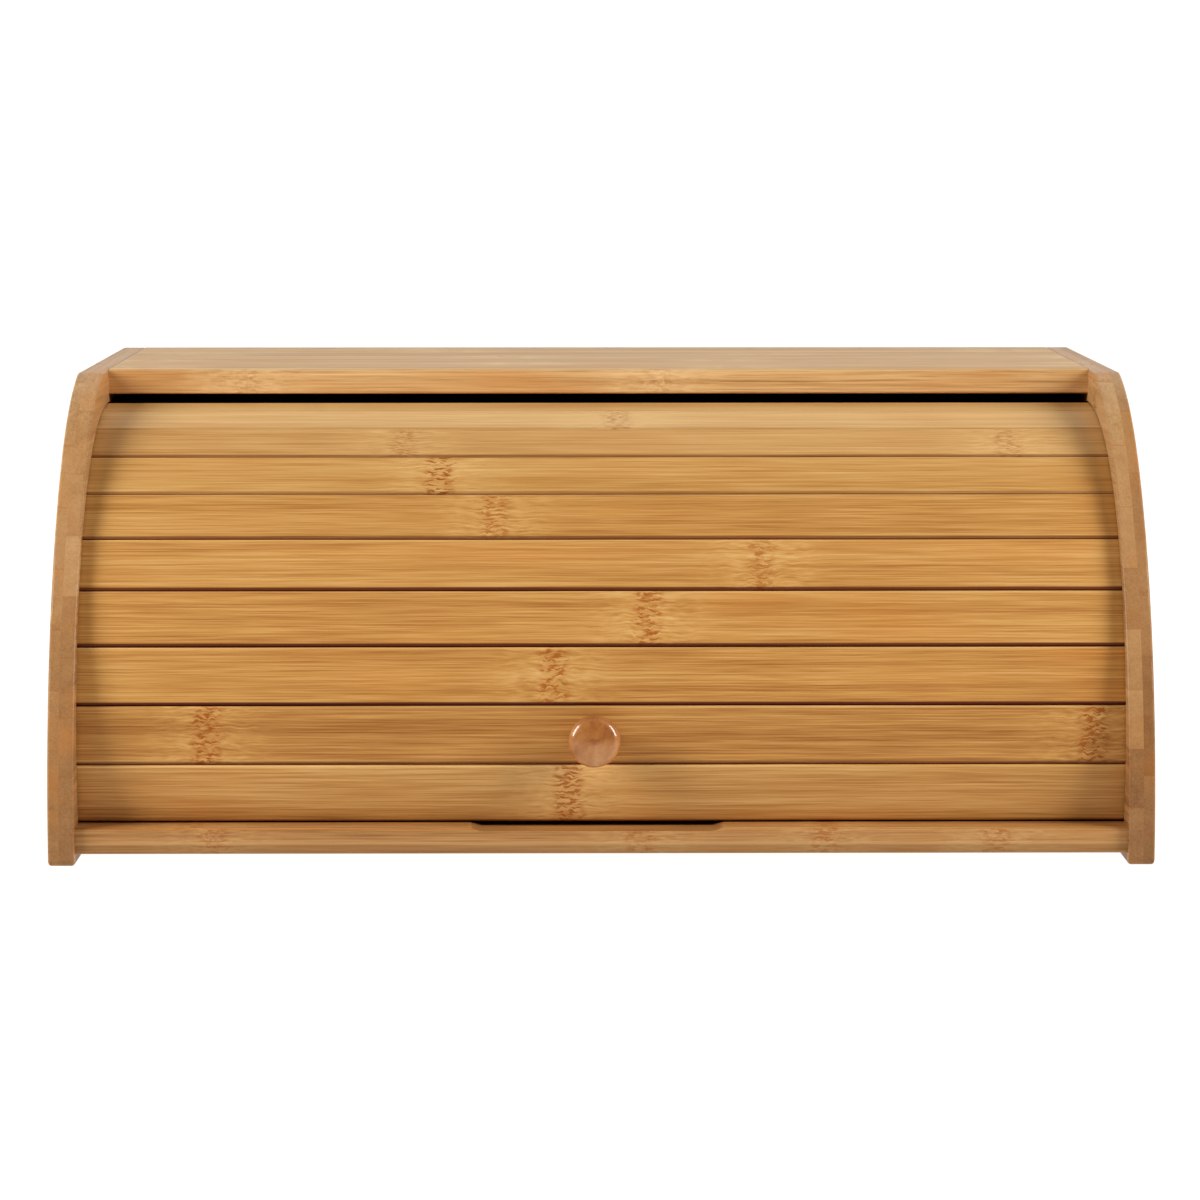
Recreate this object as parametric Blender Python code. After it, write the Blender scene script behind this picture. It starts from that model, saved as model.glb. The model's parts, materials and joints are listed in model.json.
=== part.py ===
"""Bread box with a slatted roll top, in laminated bamboo.

Metres, +Z up. X runs along the box's width, -Y is the front with the knob, and
the origin is on the ground under the middle of the whole box, knob included.

Two side panels carry a top, a base and a back panel. A curtain of flat slats,
glued to a cloth, slides in a round groove routed into both side panels, so all
of it turns about one line, the tambour axis, which is the grooves' centre.
Angles about that axis are 0 straight forward (-Y) and grow as the curtain opens.
"""

import math

import bmesh
import bpy
from mathutils import Matrix, Vector

# Box
WIDTH = 0.400
DEPTH = 0.280
HEIGHT = 0.171
BOARD = 0.0096
BACK_BOARD = 0.006
RUNNER_HEIGHT = 0.004
TOP_SETBACK = 0.135
BASE_SETBACK = 0.0025
GAP = 0.0003
EDGE_ROUNDING = 0.0010

# Curved front edge of a side panel: a wide arc, then a tighter one up to the top
FRONT_ARC_RADIUS = 0.181
FRONT_ARC_CENTRE_Z = 0.00875
FRONT_ARC_TURN = math.radians(47.2)
UPPER_ARC_RADIUS = 0.121
FOOT_CORNER_RADIUS = 0.0015
ARC_STEP = math.radians(3.0)
MERGE_DISTANCE = 1e-6

# Slatted curtain
AXIS_SETBACK = 0.133
AXIS_Z = 0.037
SLAT_COUNT = 11
SLAT_PITCH = math.radians(10.22)
CURTAIN_START = math.radians(-11.05)
SLAT_FACE_RADIUS = 0.1205
SLAT_THICKNESS = 0.005
SLAT_SPACING = 0.00035
SLAT_EDGE_ROUNDING = 0.0009
SLAT_TENON = 0.0045
CURTAIN_TRAVEL = math.radians(81.5)

# Groove in a side panel
GROOVE_DEPTH = 0.0050
GROOVE_PLAY = 0.0004
GROOVE_END_PLAY = math.radians(0.6)

# Cloth behind the slats
CLOTH_THICKNESS = 0.0006
CLOTH_SIDE_MARGIN = 0.006
CLOTH_END_MARGIN = 0.002

# Knob, its screw, and the slat that carries them
KNOB_SLAT = 2
KNOB_X = -0.0027
KNOB_DROP = 0.0015
KNOB_RADIUS = 0.0094
KNOB_LENGTH = 0.0160
KNOB_STEPS = 40
SCREW_SHANK_RADIUS = 0.00175
SCREW_HEAD_RADIUS = 0.0038
SCREW_HEAD_HEIGHT = 0.0024
SCREW_BITE = 0.0095
SCREW_STEPS = 24

# Finger scoop in the base's front edge
SCOOP_WIDTH = 0.094
SCOOP_RAMP = 0.006
SCOOP_DROP = 0.0013
SCOOP_REACH = 0.022
SCOOP_X = -0.0017
BASE_FRONT_ROUNDING = 0.0016

# Fasteners
DOWEL_RADIUS = 0.0025
DOWEL_LENGTH = 0.0180
DOWEL_IN_SIDE = 0.0058
DOWEL_STEPS = 16
TOP_DOWEL_REACHES = (0.155, 0.203, 0.251)
BASE_DOWEL_REACHES = (0.030, 0.135, 0.240)
BACK_SCREW_HEAD_RADIUS = 0.0032
BACK_SCREW_RADIUS = 0.0016
BACK_SCREW_LENGTH = 0.020
BACK_SCREW_XS = (-0.150, -0.050, 0.050, 0.150)

INNER_HALF = WIDTH / 2 - BOARD
KNOB_ANGLE = CURTAIN_START + (KNOB_SLAT - 0.5) * SLAT_PITCH


def knob_profile():
    """Knob outline as (height above the slat, radius): foot, waist, round shoulder, low dome."""
    shoulder = 0.0034
    dome_rise = 0.0008
    rim = KNOB_LENGTH - dome_rise - shoulder
    foot = [(0.0, 0.0), (0.0, 0.0060), (0.0012, 0.0062), (0.0034, 0.0056), (0.0058, 0.0062)]
    flare = [(0.0082, 0.0078), (0.0100, 0.0090), (rim - 0.0002, KNOB_RADIUS)]
    turn = [math.radians(18 * i) for i in range(1, 6)]
    round_off = [
        (rim + shoulder * math.sin(a), KNOB_RADIUS - shoulder + shoulder * math.cos(a)) for a in turn
    ]
    dome = [(KNOB_LENGTH - dome_rise * 0.35, 0.0036), (KNOB_LENGTH, 0.0)]
    return foot + flare + round_off + dome


def knob_reach():
    """How far the knob stands in front of the tambour axis."""
    foot = SLAT_FACE_RADIUS + GAP
    return max(
        (foot + height) * math.cos(KNOB_ANGLE) + (radius + KNOB_DROP) * math.sin(KNOB_ANGLE)
        for height, radius in knob_profile()
    )


# The whole box, knob included, is centred on the origin front to back
AXIS_Y = (knob_reach() - (DEPTH - AXIS_SETBACK)) / 2
FRONT_Y = AXIS_Y - AXIS_SETBACK
REAR_Y = FRONT_Y + DEPTH
BACK_PANEL_FRONT_Y = REAR_Y - BACK_BOARD
TOP_UNDERSIDE_Z = HEIGHT - BOARD
BASE_TOP_Z = RUNNER_HEIGHT + BOARD


def clear_scene():
    for obj in list(bpy.data.objects):
        bpy.data.objects.remove(obj, do_unlink=True)


def material(name, colour, roughness, metallic=0.0):
    """A Principled material."""
    mat = bpy.data.materials.new(name)
    mat.use_nodes = True
    shader = mat.node_tree.nodes["Principled BSDF"]
    shader.inputs["Base Color"].default_value = (*colour, 1.0)
    shader.inputs["Roughness"].default_value = roughness
    shader.inputs["Metallic"].default_value = metallic
    mat.diffuse_color = (*colour, 1.0)
    return mat


def link(name, mesh, mat=None, parent=None):
    obj = bpy.data.objects.new(name, mesh)
    bpy.context.scene.collection.objects.link(obj)
    if mat:
        mesh.materials.clear()
        mesh.materials.append(mat)
    obj.parent = parent
    return obj


def finish_mesh(bm, name):
    """Turns a bmesh into a mesh with its faces pointing out."""
    bmesh.ops.recalc_face_normals(bm, faces=bm.faces)
    mesh = bpy.data.meshes.new(name)
    bm.to_mesh(mesh)
    bm.free()
    return mesh


def extrusion(name, outline, run):
    """A closed, flat outline of points extruded by the vector run."""
    bm = bmesh.new()
    face = bm.faces.new([bm.verts.new(point) for point in outline])
    grown = bmesh.ops.extrude_face_region(bm, geom=[face])
    moved = [item for item in grown["geom"] if isinstance(item, bmesh.types.BMVert)]
    bmesh.ops.translate(bm, verts=moved, vec=run)
    return finish_mesh(bm, name)


def prism(name, outline, x_low, x_high):
    """A closed (y, z) outline extruded along X."""
    return extrusion(name, [(x_low, y, z) for y, z in outline], (x_high - x_low, 0, 0))


def block(name, low, high):
    """A box between two corners."""
    low, high = Vector(low), Vector(high)
    bm = bmesh.new()
    size = Matrix.Diagonal((*(high - low), 1.0))
    bmesh.ops.create_cube(bm, size=1.0, matrix=Matrix.Translation((low + high) / 2) @ size)
    return finish_mesh(bm, name)


def rod(radius, start, end):
    """Profile of a plain cylinder from start to end along its axis."""
    return [(start, 0.0), (start, radius), (end, radius), (end, 0.0)]


def turned(name, profile, steps, frames):
    """Solids of revolution: (height, radius) points turned about the Z axis of each frame."""
    bm = bmesh.new()
    points = [bm.verts.new((radius, 0, height)) for height, radius in profile]
    edges = [bm.edges.new(pair) for pair in zip(points, points[1:])]
    bmesh.ops.spin(bm, geom=points + edges, cent=(0, 0, 0), axis=(0, 0, 1), angle=math.tau, steps=steps)
    bmesh.ops.remove_doubles(bm, verts=bm.verts, dist=MERGE_DISTANCE)
    single = finish_mesh(bm, name)
    group = bmesh.new()
    for frame in frames:
        copy = single.copy()
        copy.transform(frame)
        group.from_mesh(copy)
        bpy.data.meshes.remove(copy)
    return finish_mesh(group, name)


def aim(position, direction):
    """A frame at position whose Z axis points along direction."""
    turn = Vector(direction).to_track_quat("Z", "Y").to_matrix().to_4x4()
    return Matrix.Translation(position) @ turn


def smooth(obj, degrees=35):
    obj.data.shade_smooth()
    obj.data.set_sharp_from_angle(angle=math.radians(degrees))


def soften(obj, width, segments=2):
    """Rounds the sharp edges, but not the joints between an arc's short sides."""
    bevel = obj.modifiers.new("soften", "BEVEL")
    bevel.width = width
    bevel.segments = segments
    bevel.limit_method = "ANGLE"
    bevel.angle_limit = math.radians(40)
    bevel.use_clamp_overlap = True


def cut(obj, name, mesh, parent=None):
    """Cuts a mesh out of an object; the cutter stays in the file as a wire guide."""
    cutter = link(name, mesh, parent=parent)
    cutter.hide_render = True
    cutter.display_type = "WIRE"
    modifier = obj.modifiers.new(name, "BOOLEAN")
    modifier.operation = "DIFFERENCE"
    modifier.solver = "EXACT"
    modifier.object = cutter


def arc(centre_y, centre_z, radius, start, end):
    """Points on an arc about X; angle 0 faces forward, and grows upward and then rearward."""
    steps = max(2, math.ceil(abs(end - start) / ARC_STEP))
    angles = [start + (end - start) * i / steps for i in range(steps + 1)]
    return [(centre_y - radius * math.cos(a), centre_z + radius * math.sin(a)) for a in angles]


def side_outline():
    """Side panel seen from the side: foot, wide front arc, tighter upper arc, flat top, rear."""
    wide_y = FRONT_Y + FRONT_ARC_RADIUS
    turn_in = FRONT_ARC_RADIUS - UPPER_ARC_RADIUS
    upper_y = wide_y - turn_in * math.cos(FRONT_ARC_TURN)
    upper_z = FRONT_ARC_CENTRE_Z + turn_in * math.sin(FRONT_ARC_TURN)
    upper_end = math.asin((HEIGHT - upper_z) / UPPER_ARC_RADIUS)
    foot = [(FRONT_Y + FOOT_CORNER_RADIUS, 0.0), (FRONT_Y, FOOT_CORNER_RADIUS)]
    wide = arc(wide_y, FRONT_ARC_CENTRE_Z, FRONT_ARC_RADIUS, 0, FRONT_ARC_TURN)
    upper = arc(upper_y, upper_z, UPPER_ARC_RADIUS, FRONT_ARC_TURN, upper_end)[1:]
    return foot + wide + upper + [(REAR_Y, HEIGHT), (REAR_Y, 0.0)]


def groove_outline():
    """The groove's band round the tambour axis, from the closed curtain's foot to the open tail."""
    corner = math.hypot(SLAT_FACE_RADIUS, slat_width() / 2)
    outer = corner + GROOVE_PLAY
    inner = SLAT_FACE_RADIUS - SLAT_THICKNESS - GROOVE_PLAY
    middle = (outer + inner) / 2
    half = (outer - inner) / 2
    start = CURTAIN_START - GROOVE_END_PLAY
    end = CURTAIN_START + SLAT_COUNT * SLAT_PITCH + CURTAIN_TRAVEL + GROOVE_END_PLAY
    band = arc(AXIS_Y, AXIS_Z, outer, start, end)
    band += round_end(middle, half, end, 1)
    band += arc(AXIS_Y, AXIS_Z, inner, end, start)
    band += round_end(middle, half, start, -1)
    return band


def round_end(middle, half, angle, way):
    """The half circle that a round cutter leaves at a groove's end, without its two end points."""
    sweep = [math.radians(30 * i) for i in range(1, 6)]
    points = []
    for turn in sweep:
        out = middle + way * half * math.cos(turn)
        along = way * half * math.sin(turn)
        y = AXIS_Y - out * math.cos(angle) + along * math.sin(angle)
        z = AXIS_Z + out * math.sin(angle) + along * math.cos(angle)
        points.append((y, z))
    return points


def slat_width():
    """Width at which neighbours almost touch along their rear edges."""
    return 2 * (SLAT_FACE_RADIUS - SLAT_THICKNESS) * math.tan(SLAT_PITCH / 2) - SLAT_SPACING


def dowel_frames():
    """Name and frame of each blind dowel, which points out into a side panel."""
    inner_end = INNER_HALF + DOWEL_IN_SIDE - DOWEL_LENGTH
    rows = (
        ("top", HEIGHT - BOARD / 2, TOP_DOWEL_REACHES),
        ("base", RUNNER_HEIGHT + BOARD / 2, BASE_DOWEL_REACHES),
    )
    return {
        f"{board}_dowel_{side}_{number}": aim((way * inner_end, FRONT_Y + reach, z), (way, 0, 0))
        for board, z, reaches in rows
        for side, way in (("left", -1), ("right", 1))
        for number, reach in enumerate(reaches, 1)
    }


def dowel_holes(name):
    """Cutter for every dowel hole in the box."""
    profile = rod(DOWEL_RADIUS + GAP, -GAP, DOWEL_LENGTH + GAP)
    return turned(name, profile, DOWEL_STEPS, dowel_frames().values())


def back_screw_profile(clearance):
    """Countersunk screw along its driving direction, its flat head starting at 0."""
    head = BACK_SCREW_HEAD_RADIUS + clearance
    shank = BACK_SCREW_RADIUS + clearance
    taper = BACK_SCREW_HEAD_RADIUS - BACK_SCREW_RADIUS
    rim = 0.0005
    tip = BACK_SCREW_LENGTH + clearance
    return [
        (0.0, 0.0), (0.0, head), (rim, head), (rim + taper, shank), (tip - 0.004, shank),
        (tip, 0.0),
    ]


def back_screw_frames():
    """Name and frame of each screw through the back panel into the top's or the base's edge."""
    head_y = REAR_Y - GAP
    rows = (("top", HEIGHT - BOARD / 2), ("base", RUNNER_HEIGHT + BOARD / 2))
    return {
        f"back_screw_{board}_{number}": aim((x, head_y, z), (0, -1, 0))
        for board, z in rows
        for number, x in enumerate(BACK_SCREW_XS, 1)
    }


def back_screw_holes(name):
    """Cutter for the back screws' holes, open at the panel's rear face."""
    profile = back_screw_profile(GAP)
    mouth = -0.002
    profile[0] = (mouth, 0.0)
    profile[1] = (mouth, profile[2][1])
    return turned(name, profile, SCREW_STEPS, back_screw_frames().values())


def knob_axis_frame():
    """In the knob slat's own frame: on its face, a little below its middle, pointing straight out."""
    return aim((KNOB_X, -SLAT_FACE_RADIUS, -KNOB_DROP), (0, -1, 0))


def side_panel(name, way, mat):
    """A side panel; way is -1 for the left one and 1 for the right one."""
    faces = sorted((way * INNER_HALF, way * WIDTH / 2))
    obj = link(name, prism(name, side_outline(), *faces), mat)
    soften(obj, EDGE_ROUNDING)
    overrun = 0.002
    depths = sorted((way * (INNER_HALF - overrun), way * (INNER_HALF + GROOVE_DEPTH)))
    cut(obj, name + "_groove_cutter", prism("groove", groove_outline(), *depths))
    cut(obj, name + "_dowel_cutter", dowel_holes("dowel_holes"))


def cross_board(name, y_low, z_low, mat):
    """A board between the side panels, which ends in front of the back panel."""
    half = INNER_HALF - GAP
    high = (half, BACK_PANEL_FRONT_Y - GAP, z_low + BOARD)
    return link(name, block(name, (-half, y_low, z_low), high), mat)


def bore_board(obj):
    """Bores a cross board for its dowels and the back panel's screws."""
    cut(obj, obj.name + "_dowel_cutter", dowel_holes("dowel_holes"))
    cut(obj, obj.name + "_screw_cutter", back_screw_holes("back_screw_holes"))


def top_panel(mat):
    obj = cross_board("top_panel", FRONT_Y + TOP_SETBACK, TOP_UNDERSIDE_Z, mat)
    soften(obj, EDGE_ROUNDING)
    bore_board(obj)


def scoop_outline():
    """The finger scoop seen from the front, as (x, z): flat bottom and two eased ends."""
    half = SCOOP_WIDTH / 2
    steps = 5
    clear = BASE_TOP_Z + 0.004
    ease = []
    for i in range(steps + 1):
        t = i / steps
        ease.append((half - SCOOP_RAMP * t, BASE_TOP_Z - SCOOP_DROP * (1 - math.cos(math.pi * t)) / 2))
    right = [(half, clear)] + ease
    left = [(-x, z) for x, z in reversed(right)]
    return [(SCOOP_X + x, z) for x, z in right + left]


def scoop_cutter(name):
    """The scoop's outline run backwards from in front of the base."""
    front = FRONT_Y - 0.005
    rear = FRONT_Y + SCOOP_REACH
    return extrusion(name, [(x, front, z) for x, z in scoop_outline()], (0, rear - front, 0))


def base_panel(mat):
    obj = cross_board("base_panel", FRONT_Y + BASE_SETBACK, RUNNER_HEIGHT, mat)
    soften(obj, BASE_FRONT_ROUNDING, 3)
    cut(obj, "finger_scoop_cutter", scoop_cutter("finger_scoop"))
    bore_board(obj)


def back_panel(mat):
    half = INNER_HALF - GAP
    low = (-half, BACK_PANEL_FRONT_Y, RUNNER_HEIGHT)
    obj = link("back_panel", block("back_panel", low, (half, REAR_Y, HEIGHT)), mat)
    soften(obj, EDGE_ROUNDING * 0.6)
    cut(obj, "back_panel_screw_cutter", back_screw_holes("back_screw_holes"))


def slat_mesh(name):
    """One slat about the tambour axis, facing -Y; only its two front edges are rounded."""
    half = slat_width() / 2
    front = -SLAT_FACE_RADIUS
    rear = front + SLAT_THICKNESS
    r = SLAT_EDGE_ROUNDING
    steps = 3
    quarter = [math.pi / 2 * i / steps for i in range(steps + 1)]
    upper = [(front + r - r * math.cos(a), half - r + r * math.sin(a)) for a in quarter]
    lower = [(y, -z) for y, z in reversed(upper)]
    length = INNER_HALF + SLAT_TENON
    return prism(name, upper + [(rear, half), (rear, -half)] + lower, -length, length)


def slat(number, mesh, mat, parent):
    obj = link(f"slat_{number:02d}", mesh, mat, parent)
    angle = CURTAIN_START + (number - 0.5) * SLAT_PITCH
    obj.rotation_euler.x = -angle
    return obj


def tambour_cloth(mat, parent):
    """The cloth as a folded strip that follows the slats' flat backs."""
    outer = SLAT_FACE_RADIUS - SLAT_THICKNESS - GAP
    half_turn = SLAT_PITCH / 2
    trim = CLOTH_END_MARGIN / outer
    angles = [CURTAIN_START + i * SLAT_PITCH for i in range(SLAT_COUNT + 1)]
    angles[0] += trim
    angles[-1] -= trim

    def row(radius):
        points = []
        for index, angle in enumerate(angles):
            inset = half_turn - trim if index in (0, SLAT_COUNT) else half_turn
            reach = radius / math.cos(inset)
            points.append((-reach * math.cos(angle), reach * math.sin(angle)))
        return points

    outline = row(outer) + list(reversed(row(outer - CLOTH_THICKNESS)))
    half = INNER_HALF - CLOTH_SIDE_MARGIN
    return link("tambour_cloth", prism("tambour_cloth", outline, -half, half), mat, parent)


def knob(mat, parent):
    frame = knob_axis_frame() @ Matrix.Translation((0, 0, GAP))
    obj = link("knob", turned("knob", knob_profile(), KNOB_STEPS, [frame]), mat, parent)
    obj.rotation_euler.x = -KNOB_ANGLE
    smooth(obj)
    return obj


def screw_depth():
    """From the slat's face back to the underside of the screw's head, behind the cloth."""
    return SLAT_THICKNESS + 2 * GAP + CLOTH_THICKNESS


def knob_screw(mat, parent):
    """Pan-head screw behind the cloth, biting into the knob."""
    seat = -screw_depth()
    low_rim = seat - SCREW_HEAD_HEIGHT * 0.45
    top = seat - SCREW_HEAD_HEIGHT
    tip = GAP + SCREW_BITE
    profile = [
        (top, 0.0), (top, SCREW_HEAD_RADIUS * 0.55), (low_rim, SCREW_HEAD_RADIUS),
        (seat, SCREW_HEAD_RADIUS), (seat, SCREW_SHANK_RADIUS), (tip - 0.003, SCREW_SHANK_RADIUS),
        (tip, 0.0),
    ]
    mesh = turned("knob_screw", profile, SCREW_STEPS, [knob_axis_frame()])
    obj = link("knob_screw", mesh, mat, parent)
    obj.rotation_euler.x = -KNOB_ANGLE
    smooth(obj)


def bore_for_knob_screw(targets, parent):
    """The screw's hole through the cloth and the slat and into the knob."""
    start = -screw_depth() - 0.002
    end = GAP + SCREW_BITE + GAP
    profile = rod(SCREW_SHANK_RADIUS + GAP, start, end)
    for obj in targets:
        mesh = turned("knob_screw_hole", profile, SCREW_STEPS, [knob_axis_frame()])
        name = obj.name + "_screw_cutter"
        cut(obj, name, mesh, parent)
        bpy.data.objects[name].rotation_euler.x = -KNOB_ANGLE


def fasteners(profile, steps, frames, mat):
    """Equal turned fasteners, each its own object, sharing one mesh."""
    shared = turned(mat.name, profile, steps, [Matrix.Identity(4)])
    for name, frame in frames.items():
        obj = link(name, shared, mat)
        obj.matrix_world = frame
        smooth(obj)


def dowels(mat):
    chamfer = 0.0004
    profile = [
        (0.0, 0.0), (0.0, DOWEL_RADIUS - chamfer), (chamfer, DOWEL_RADIUS),
        (DOWEL_LENGTH - chamfer, DOWEL_RADIUS), (DOWEL_LENGTH, DOWEL_RADIUS - chamfer),
        (DOWEL_LENGTH, 0.0),
    ]
    fasteners(profile, DOWEL_STEPS, dowel_frames(), mat)


def back_screws(mat):
    fasteners(back_screw_profile(0.0), SCREW_STEPS, back_screw_frames(), mat)


def tambour(axis):
    """The sliding curtain: slats, cloth, knob and screw, all hung on the tambour axis."""
    slat_wood = [(0.56, 0.30, 0.098), (0.55, 0.29, 0.090), (0.58, 0.32, 0.105)]
    slats = []
    for number in range(1, SLAT_COUNT + 1):
        name = f"slat_{number:02d}"
        mat = material(name, slat_wood[number % len(slat_wood)], 0.42)
        slats.append(slat(number, slat_mesh(name), mat, axis))
    cloth = tambour_cloth(material("tambour_cloth", (0.62, 0.55, 0.43), 0.95), axis)
    handle = knob(material("knob", (0.35, 0.12, 0.028), 0.18), axis)
    knob_screw(material("knob_screw", (0.60, 0.58, 0.54), 0.32, 1.0), axis)
    bore_for_knob_screw((slats[KNOB_SLAT - 1], cloth, handle), axis)


def carcass():
    """The standing part of the box."""
    side_panel("left_side_panel", -1, material("left_side_panel", (0.58, 0.33, 0.14), 0.45))
    side_panel("right_side_panel", 1, material("right_side_panel", (0.56, 0.31, 0.13), 0.45))
    top_panel(material("top_panel", (0.64, 0.39, 0.17), 0.40))
    base_panel(material("base_panel", (0.46, 0.25, 0.10), 0.45))
    back_panel(material("back_panel", (0.60, 0.36, 0.15), 0.50))
    dowels(material("dowel", (0.66, 0.47, 0.27), 0.7))
    back_screws(material("back_screw", (0.60, 0.58, 0.54), 0.32, 1.0))


def build():
    clear_scene()
    axis = bpy.data.objects.new("tambour_axis", None)
    bpy.context.scene.collection.objects.link(axis)
    axis.location = (0, AXIS_Y, AXIS_Z)
    tambour(axis)
    carcass()


build()
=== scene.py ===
"""Looks of the roll-top bread box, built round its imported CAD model.

Each wooden piece that shows is rebuilt at the CAD's own size with fine curves, eased edges
and a solid bamboo texture. Sizes are metres. Angles about the tambour axis are 0 straight
forward (-Y) and grow as the curtain opens, as in the CAD model.
"""

import json
import math

import bmesh
import bpy
from mathutils import Matrix, Vector, noise


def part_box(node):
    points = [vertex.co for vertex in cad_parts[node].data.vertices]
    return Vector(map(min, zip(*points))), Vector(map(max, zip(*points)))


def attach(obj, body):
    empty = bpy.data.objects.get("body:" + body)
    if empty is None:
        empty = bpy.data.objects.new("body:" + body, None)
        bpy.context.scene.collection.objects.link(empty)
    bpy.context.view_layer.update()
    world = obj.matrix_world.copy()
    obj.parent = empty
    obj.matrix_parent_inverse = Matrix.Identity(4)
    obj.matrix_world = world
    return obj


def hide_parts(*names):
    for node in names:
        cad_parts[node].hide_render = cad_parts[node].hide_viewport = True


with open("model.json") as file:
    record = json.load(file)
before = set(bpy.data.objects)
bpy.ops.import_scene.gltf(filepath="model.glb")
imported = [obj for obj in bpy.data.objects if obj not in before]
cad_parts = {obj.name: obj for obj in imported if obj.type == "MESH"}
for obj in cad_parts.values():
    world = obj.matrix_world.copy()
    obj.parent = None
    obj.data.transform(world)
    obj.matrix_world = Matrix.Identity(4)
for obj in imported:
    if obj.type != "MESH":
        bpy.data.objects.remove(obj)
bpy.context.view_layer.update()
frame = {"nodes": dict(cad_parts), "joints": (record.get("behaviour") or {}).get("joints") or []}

# Places taken from the frame
AXIS = Vector(frame["joints"][0]["pos_m"])
SIDE_LOW, SIDE_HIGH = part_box("right_side_panel")
TOP_LOW, TOP_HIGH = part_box("top_panel")
BASE_LOW, BASE_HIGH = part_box("base_panel")
BACK_LOW, BACK_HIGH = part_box("back_panel")
CLOTH_LOW, CLOTH_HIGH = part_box("tambour_cloth")
INNER_HALF = SIDE_LOW.x
SLAT_NODES = sorted(name for name in frame["nodes"] if name.startswith("slat_"))

# Turns a solid of revolution's Z to the front, as the knob and the back screws point
DRIVE = Vector((0, -1, 0)).to_track_quat("Z", "Y").to_matrix().to_4x4()

# The CAD model's design sizes that a box can't show
FRONT_ARC_RADIUS = 0.181
FRONT_ARC_CENTRE_Z = 0.00875
FRONT_ARC_TURN = math.radians(47.2)
UPPER_ARC_RADIUS = 0.121
SLAT_PITCH = math.radians(10.22)
CURTAIN_START = math.radians(-11.05)
CURTAIN_TRAVEL = math.radians(81.5)
SLAT_FACE_RADIUS = 0.1205
SLAT_THICKNESS = 0.005
SLAT_SPACING = 0.00035
GROOVE_DEPTH = 0.0050
GROOVE_PLAY = 0.0004
GROOVE_END_PLAY = math.radians(0.6)
GAP = 0.0003
CLOTH_THICKNESS = 0.0006
CLOTH_END_MARGIN = 0.002
SLAT_WIDTH = 2 * SLAT_FACE_RADIUS * math.tan(SLAT_PITCH / 2) - SLAT_SPACING
KNOB_ANGLE = CURTAIN_START + 1.5 * SLAT_PITCH
KNOB_DROP = 0.0015
KNOB_RADIUS = 0.0094
KNOB_LENGTH = 0.0160
SCREW_SHANK_RADIUS = 0.00175
SCREW_BITE = 0.0095
SCOOP_WIDTH = 0.094
SCOOP_RAMP = 0.006
SCOOP_DROP = 0.0013
SCOOP_REACH = 0.022
SCOOP_X = -0.0017
BACK_SCREW_SHANK_RADIUS = 0.0016
PAN_HEAD_RADIUS = 0.0038
PAN_HEAD_HEIGHT = 0.0024

# Roundings, finer than the CAD model's facets
SIDE_EASE = 0.0010
TOP_EASE = 0.0009
BASE_EASE = 0.0014
SLAT_EASE = 0.0009
SLAT_BACK_EASE = 0.0003
SLAT_EDGE_WANDER = 0.00010

# Bamboo's build: its strips, its layers, and the spacing and size of the cane's joints
STRIP_WIDTH = 0.0210
PLY_SHIFT = 0.45
INNER_PLY = 0.0054
LOWER_PLY = 0.0040
JOINT_SPACING = 0.230
JOINT_WANDER = 0.0070
JOINT_CORE = (0.0028, 0.0070)
JOINT_HALO = (0.0040, 0.0320)

# Bamboo's figure, as waves per metre along and across the fibres
FINE_FIBRES = (30, 1900)
JOINT_FIBRES = (150, 1250)
STREAKS = (7, 820)
BANDS = (2.5, 170)
CLOUDS = (9, 36)
DASHES = (300, 1100)
SWAYS = (95, 150)
CURLS = (420, 300)

# How far fibres leave their line, and how much each kind of figure shows
SWAY_BY_JOINT = 0.0030
SWAY_ELSEWHERE = 0.0003
CURL_IN_JOINT = 0.0026
FINE_CONTRAST = 1.05
STREAK_CONTRAST = 0.50
BAND_CONTRAST = 0.65
HALO_LIFT = 0.12

# Where across a board the painted lightening up a side panel changes nothing, and the cloth's threads
PAINTED_CLIMB_MIDDLE = 0.08
THREAD_PITCH = 0.0011

# Studio; angles in degrees, powers in watts
LIGHT_TARGET = Vector((0, 0, 0.08))
SIDE_LIGHT_AZIMUTH = 66
SIDE_LIGHT_RISE = 26
SIDE_LIGHT_DISTANCE = 1.6
SIDE_LIGHT_SIZE = (0.60, 0.85)
SIDE_LIGHT_POWER = 15.5
OVERHEAD_RISE = 70
OVERHEAD_DISTANCE = 1.8
OVERHEAD_SIZE = (1.4, 0.9)
OVERHEAD_POWER = 1.2
STUDIO_FILL = 0.02
FLOOR_GLOW = 0.68
BACKDROP_GLOW = 0.70
PAPER_ALBEDO = 0.12
CAMERA_PLACE = (-0.0133, -1.6128, 0.2737)
CAMERA_TILT = -6.84
CAMERA_TURN = -0.49
CAMERA_LENS = 124.3


# ---------------------------------------------------------------- shapes


def add_mesh(name, bm):
    """A new object from a bmesh, its faces pointing out."""
    bmesh.ops.recalc_face_normals(bm, faces=bm.faces)
    mesh = bpy.data.meshes.new(name)
    bm.to_mesh(mesh)
    bm.free()
    obj = bpy.data.objects.new(name, mesh)
    bpy.context.scene.collection.objects.link(obj)
    return obj


def extrusion(name, outline, run):
    """A closed, flat outline of points extruded by the vector run."""
    bm = bmesh.new()
    face = bm.faces.new([bm.verts.new(point) for point in outline])
    grown = bmesh.ops.extrude_face_region(bm, geom=[face])
    moved = [item for item in grown["geom"] if isinstance(item, bmesh.types.BMVert)]
    bmesh.ops.translate(bm, verts=moved, vec=run)
    return add_mesh(name, bm)


def block(name, low, high):
    """A box between two corners."""
    bm = bmesh.new()
    size = Matrix.Diagonal((*(high - low), 1.0))
    bmesh.ops.create_cube(bm, size=1.0, matrix=Matrix.Translation((low + high) / 2) @ size)
    return add_mesh(name, bm)


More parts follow.
